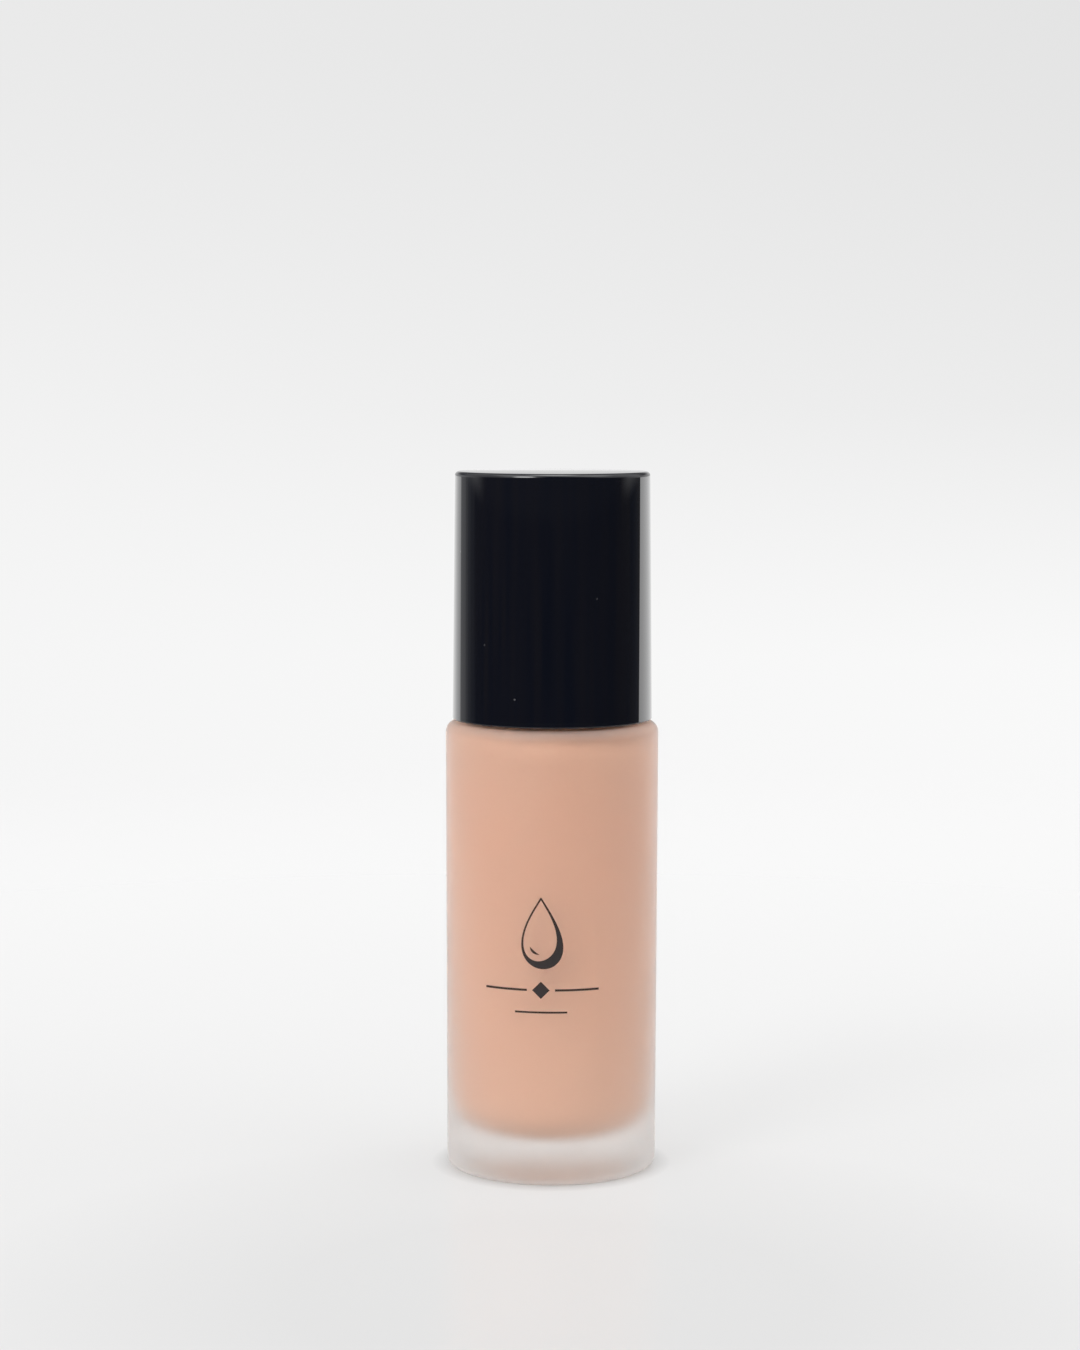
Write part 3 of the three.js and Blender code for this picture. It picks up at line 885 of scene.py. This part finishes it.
def make_piston(natural):
    """Cup lips at both ends seal on the housing's bore."""
    radius, bore, waist = reach("piston"), 1.75, 3.3
    hub, groove = 2.5, 2.9
    low, high = bottom("piston"), top("piston")
    piston = turned(
        "cup_piston",
        [
            (bore, low, 0.15),
            (hub, low, 0.1),
            (groove, low + 0.6, 0.15),
            (radius - 0.15, low, 0.05),
            (radius, low + 0.4, 0.1),
            (waist, low + 1.4, 0.3),
            (waist, high - 1.4, 0.3),
            (radius, high - 0.4, 0.1),
            (radius - 0.15, high, 0.05),
            (groove, high - 0.6, 0.15),
            (hub, high, 0.1),
            (bore, high, 0.15),
        ],
        natural,
    )
    fit(piston, "piston", "natural_plastic", "piston")


def make_valve_rod(natural):
    """A headed rod whose shaft has four round flutes."""
    shaft, head, spigot = 1.35, reach("valve_rod"), 1.75
    low, high = bottom("valve_rod"), top("valve_rod")
    head_low, head_top = low + 2.2, low + 3.3
    flute_centre, flute_radius, flutes = 1.3, 0.45, 4

    def outline_at(share):
        off = ((share * flutes) % 1 - 0.5) * TURN / flutes  # the angle from the nearest flute
        reach_in = flute_radius**2 - (flute_centre * math.sin(off)) ** 2
        fluted = shaft
        if reach_in > 0:
            fluted = min(shaft, flute_centre * math.cos(off) - math.sqrt(reach_in))
        return rounded(
            [
                (0, low),
                (spigot, low, 0.5),
                (spigot, head_low, 0.1),
                (head, head_low, 0.2),
                (head, head_top - 0.3, 0.1),
                (shaft, head_top),
                (shaft, head_top + 0.4),
                (fluted, head_top + 0.55),
                (fluted, high - 0.3),
                (fluted - 0.2, high),
                (0, high),
            ],
            steps=5,
        )

    rod = finished("fluted_valve_rod", turned_mesh(outline_at, 160, False), natural)
    fit(rod, "plunger", "natural_plastic", "valve_rod")


def make_stem(natural):
    """The tube that carries the head, with the fluid's way through it."""
    low, bore = bottom("stem"), 1.6
    stem = turned(
        "stem_tube",
        [
            (bore, low, 0.15),
            (STEM_RADIUS, low, 0.2),
            (STEM_RADIUS, STEM_TOP_Z, 0.3),
            (bore, STEM_TOP_Z, 0.15),
        ],
        natural,
        segments=128,
    )
    fit(stem, "plunger", "natural_plastic", "stem")


# ---- The pump head ----


def make_head(black, satin, natural):
    """The button's cover with its dished top, the core that carries the fluid, and the nozzle."""
    radius, dish = reach("actuator_cover"), 0.6
    low, high = bottom("actuator_cover"), top("actuator_cover")
    nozzle_hole = NOZZLE_RADIUS + 0.1
    cover = turned(
        "pump_button",
        [
            (0, high - HEAD_TOP),
            (radius - HEAD_WALL, high - HEAD_TOP, 0.3),
            (radius - HEAD_WALL, low, 0.2),
            (radius, low, 0.3),
            (radius, high, 0.9),
            (radius - 1.6, high, 2),
            (radius - 4.6, high - dish, 4),
            (0, high - dish),
        ],
        black,
        closed=False,
        segments=192,
        steps=12,
    )
    cut(cover, cylinder_between((0, -4, NOZZLE_Z), (0, -12, NOZZLE_Z), nozzle_hole))
    fit(cover, "head", "black_gloss", "actuator_cover")

    inner, boss, way = reach("actuator_core"), 4.4, 0.9
    low, high = bottom("actuator_core"), top("actuator_core")
    core = turned(
        "pump_button_core",
        [
            (0, low),
            (boss, low, 0.3),
            (boss, low + 3.1, 0.3),
            (inner, low + 3.1, 0.2),
            (inner, high, 0.3),
            (0, high),
        ],
        natural,
        closed=False,
    )
    cut(
        core,
        cylinder_between((0, 0, low - 0.5), (0, 0, STEM_TOP_Z + 0.1), STEM_RADIUS + 0.12, 96),
        cylinder_between((0, 0, STEM_TOP_Z - 1), (0, 0, NOZZLE_Z), way),
        cylinder_between((0, way, NOZZLE_Z), (0, -6, NOZZLE_Z), way),
        cylinder_between((0, -4.2, NOZZLE_Z), (0, -inner - 1, NOZZLE_Z), nozzle_hole),
    )
    fit(core, "head", "natural_plastic", "actuator_core")

    bore, back = 0.7, 4.4
    nozzle = turned(
        "nozzle_tip",
        [
            (bore, back, 0.1),
            (NOZZLE_RADIUS, back, 0.1),
            (NOZZLE_RADIUS, NOZZLE_REACH - 0.8, 0.3),
            (NOZZLE_RADIUS - 0.35, NOZZLE_REACH, 0.25),
            (1.15, NOZZLE_REACH, 0.1),
            (bore, NOZZLE_REACH - 0.9, 0.2),
        ],
        satin,
    )
    forwards = Matrix.Rotation(math.pi / 2, 4, "X")
    nozzle.data.transform(Matrix.Translation((0, 0, NOZZLE_Z * MM)) @ forwards)
    fit(nozzle, "head", "black_satin", "nozzle_insert")


# ---- The studio ----

WHITE = (1, 1, 1, 1)


def vector_calc(tree, operation, vector, constant):
    """A vector math node on an output and a constant, which gives a number."""
    node = tree.nodes.new("ShaderNodeVectorMath")
    node.operation = operation
    tree.links.new(vector, node.inputs[0])
    node.inputs[1].default_value = constant
    return node.outputs["Value"]


def mixed_shader(tree, share, low, high):
    """One shader where share is 0, another where it is 1."""
    node = tree.nodes.new("ShaderNodeMixShader")
    for socket, source in zip(node.inputs, (share, low, high)):
        tree.links.new(source, socket)
    return node.outputs["Shader"]


CAMERA_AT = (-0.00185, -0.471, 0.1207)
CAMERA_LENS = 82.9
CAMERA_DOWN_DEG = 5.5
CAMERA_ROLL_DEG = 0.10


def make_camera():
    """In front of the bottle, looking slightly down."""
    data = bpy.data.cameras.new("camera")
    data.sensor_width = 36
    data.lens = CAMERA_LENS
    camera = bpy.data.objects.new("camera", data)
    camera.matrix_world = (
        Matrix.Translation(CAMERA_AT)
        @ Matrix.Rotation(math.pi / 2 - math.radians(CAMERA_DOWN_DEG), 4, "X")
        @ Matrix.Rotation(math.radians(CAMERA_ROLL_DEG), 4, "Z")
    )
    bpy.context.scene.collection.objects.link(camera)
    bpy.context.scene.camera = camera


FLOOR_RADIUS = 900  # mm
FLOOR_WHITE = 0.18
FLOOR_GLOSS = 0.05
FLOOR_GLOW = (0.55, 0.565)  # its own light, GLOW_REACH in front of the bottle and behind it
GLOW_REACH = 0.12
# Painted shadows, where its painted glow is lowered: a centre, the radius where the shadow is full
# and the one where it ends, all in metres, and how much less
FLOOR_PAINTED_SHADOWS = [
    ((0, 0, 0), 0.0155, 0.0185, 0.15),
    ((0, -0.07, 0), 0.035, 0.085, 0.07),
]
FLOOR_FADE = (0.2, 0.5)  # it turns clear here, so that the cap's front mirrors the dark room


def make_floor():
    """A pale, faintly glossy floor whose glow is painted light, as if far lights lit it, a little
    darker in front, with painted shadows round the bottle's foot and in front of it, and which
    fades out.
    """
    bm = bmesh.new()
    bmesh.ops.create_circle(bm, cap_ends=True, radius=FLOOR_RADIUS, segments=96)
    tint = (FLOOR_WHITE, FLOOR_WHITE, FLOOR_WHITE, 1)
    material, shader = new_material("floor", Base_Color=tint, Roughness=0.22)
    shader.inputs["Specular IOR Level"].default_value = FLOOR_GLOSS
    shader.inputs["Emission Color"].default_value = WHITE
    tree = material.node_tree
    place = object_place(tree)

    ahead = add(tree, "SeparateXYZ", {"Vector": place}).outputs["Y"]
    glow = ranged(tree, ahead, -GLOW_REACH, GLOW_REACH, *FLOOR_GLOW)
    # painted shadows: the glow is lowered round the bottle's foot and in front of it
    for centre, full, end, less in FLOOR_PAINTED_SHADOWS:
        away = vector_calc(tree, "DISTANCE", place, centre)
        glow = calc(tree, "SUBTRACT", glow, ranged(tree, away, full, end, less, 0))
    tree.links.new(glow, shader.inputs["Emission Strength"])
    away = vector_calc(tree, "DISTANCE", place, (0, 0, 0))
    clear = add(tree, "BsdfTransparent").outputs["BSDF"]
    fade = ranged(tree, away, *FLOOR_FADE, smooth=True)
    mix = mixed_shader(tree, fade, shader.outputs["BSDF"], clear)
    tree.links.new(mix, tree.nodes["Material Output"].inputs["Surface"])
    finished("floor", bm, material)


# The studio just below the horizon, as the cap's sides mirror it: bearing from straight behind in
# degrees, and brightness. There are white walls behind the bottle, and dark ones beside it and in
# front.
LEFT_WALLS = [
    (-90, 0.03),
    (-78, 0.04),
    (-74, 0.13),
    (-69, 0.14),
    (-68, 0.20),
    (-63, 0.24),
    (-62, 0.33),
    (-58, 0.36),
    (-57, 0.52),
    (-45, 0.56),
    (-43.6, 1.50),
    (-25, 1.62),
    (0, 1.2),
]
RIGHT_WALLS = [
    (0, 1.0),
    (20, 1.5),
    (52.5, 2.15),
    (54.5, 2.4),
    (56, 0.04),
    (57, 0.04),
    (58, 0.12),
    (60, 0.11),
    (72, 0.06),
    (90, 0.04),
]
LEFT_SLANT = -0.45  # how far the walls' edges lean: radians of bearing for the elevation's sine
RIGHT_SLANT = 0.7
WALL_MOST = 3.0  # the brightness that 1 stands for in the walls' colour ramp

# The studio from the horizon up to the lights
HORIZON_BEHIND = 0.82
HORIZON_IN_FRONT = 0.06

LIGHTS_FROM_DEG = (8, 20)  # the elevations over which the horizon gives way to the lights
LIGHT_CORE = 0.35  # the share of its width over which a light is at its full strength
# The lights: bearing from straight behind and elevation, half width, all in degrees, and strength
LIGHTS = [
    (-142, 37, 15, 11.5),
    (-140, 33, 30, 0.8),
    (0, 88, 18, 4.2),
    (0, 90, 60, 0.30),
    (-125, 64, 34, 1.35),
    (122, 64, 34, 2.0),
    (-85, 30, 50, 0.70),
    (85, 30, 50, 1.02),
    (0, 45, 50, 0.25),
]

# The backdrop that the camera sees: the elevation's sine at its low and its high end, and the
# brightness at each
BACKDROP = (-0.294, -0.164, 0.83, 0.915)
BACKDROP_DIMMED = (-0.094, 0.126, 0.0, 0.09)  # what is taken off it towards the top
BACKDROP_RIGHT = (-0.09, -0.01, -0.035, 0.058)  # what is taken off it on the right
BACKDROP_SIDES = (-0.2, 0.25)  # the bearings of its left and right, in radians


def make_world():
    """The studio that lights the bottle and shows in its gloss, and a pale backdrop for the camera
    alone."""
    world = bpy.data.worlds.new("studio")
    world.use_nodes = True
    bpy.context.scene.world = world
    tree = world.node_tree
    tree.nodes.clear()

    def mixed(share, low, high):
        """low where share is 0, high where it is 1."""
        rest = calc(tree, "MULTIPLY", calc(tree, "SUBTRACT", 1.0, share), low)
        return calc(tree, "ADD", rest, calc(tree, "MULTIPLY", share, high))

    def step(value, low, high):
        return ranged(tree, value, low, high, smooth=True)

    place = add(tree, "TexCoord").outputs["Generated"]
    axes = add(tree, "SeparateXYZ", {"Vector": place}).outputs
    x, y, z = axes["X"], axes["Y"], axes["Z"]
    bearing = calc(tree, "ARCTAN2", x, y)  # 0 straight behind the bottle, positive to the right

    def walls(stops, slant):
        """The walls of one side, whose edges lean by slant."""
        ramp = tree.nodes.new("ShaderNodeValToRGB")
        leaning = calc(tree, "ADD", bearing, calc(tree, "MULTIPLY", z, slant))
        tree.links.new(ranged(tree, leaning, -math.pi / 2, math.pi / 2), ramp.inputs["Fac"])
        elements = ramp.color_ramp.elements
        elements.remove(elements[1])
        for i, (degrees, level) in enumerate(stops):
            element = elements[0] if i == 0 else elements.new(degrees / 180 + 0.5)
            element.position = degrees / 180 + 0.5
            element.color = (level / WALL_MOST,) * 3 + (1,)
        return calc(tree, "MULTIPLY", ramp.outputs["Color"], WALL_MOST)

    # each part of the studio turns softly into the next
    left, right = walls(LEFT_WALLS, LEFT_SLANT), walls(RIGHT_WALLS, RIGHT_SLANT)
    sides = mixed(step(bearing, -0.05, 0.05), left, right)
    horizon = mixed(step(y, -0.1, 0.25), HORIZON_IN_FRONT, HORIZON_BEHIND)
    level = mixed(step(z, 0.0, 0.022), sides, horizon)

    above = 0.0
    for turn, up, width, strength in LIGHTS:
        turn, up, width = math.radians(turn), math.radians(up), math.radians(width)
        middle = (math.cos(up) * math.sin(turn), math.cos(up) * math.cos(turn), math.sin(up))
        toward = vector_calc(tree, "DOT_PRODUCT", place, middle)
        near = step(toward, math.cos(width), math.cos(width * LIGHT_CORE))
        above = calc(tree, "ADD", above, calc(tree, "MULTIPLY", near, strength))
    start, full = (math.sin(math.radians(up)) for up in LIGHTS_FROM_DEG)
    lit = mixed(step(z, start, full), level, above)

    seen = ranged(tree, z, *BACKDROP, smooth=True)
    to_right = calc(
        tree, "MULTIPLY", ranged(tree, bearing, *BACKDROP_SIDES), ranged(tree, z, *BACKDROP_RIGHT)
    )
    seen = calc(tree, "SUBTRACT", seen, to_right)
    seen = calc(tree, "SUBTRACT", seen, ranged(tree, z, *BACKDROP_DIMMED, smooth=True))
    studio = add(tree, "Background", {"Strength": lit}, Color=WHITE).outputs["Background"]
    backdrop = add(tree, "Background", {"Strength": seen}, Color=WHITE).outputs["Background"]
    camera_ray = add(tree, "LightPath").outputs["Is Camera Ray"]
    add(tree, "OutputWorld", {"Surface": mixed_shader(tree, camera_ray, studio, backdrop)})


def make_studio():
    """The camera, the floor and the light, seen without a film look."""
    make_camera()
    make_floor()
    make_world()
    bpy.context.scene.view_settings.view_transform = "Standard"


def make_object():
    """All the pieces of the bottle."""
    frosted, black, satin = frosted_glass(), gloss_black(), satin_black()
    natural, foam, steel = natural_plastic(), white_foam(), stainless()
    make_bottle(frosted)
    make_fluid()
    make_print()
    make_overcap(black)
    make_liner(satin)
    make_collar(black, natural)
    make_housing(natural)
    make_stem_guide(natural)
    make_small_rings(natural, foam)
    make_dip_tube(natural)
    make_spring(steel)
    make_ball(steel)
    make_piston(natural)
    make_valve_rod(natural)
    make_stem(natural)
    make_head(black, satin, natural)


make_studio()
make_object()
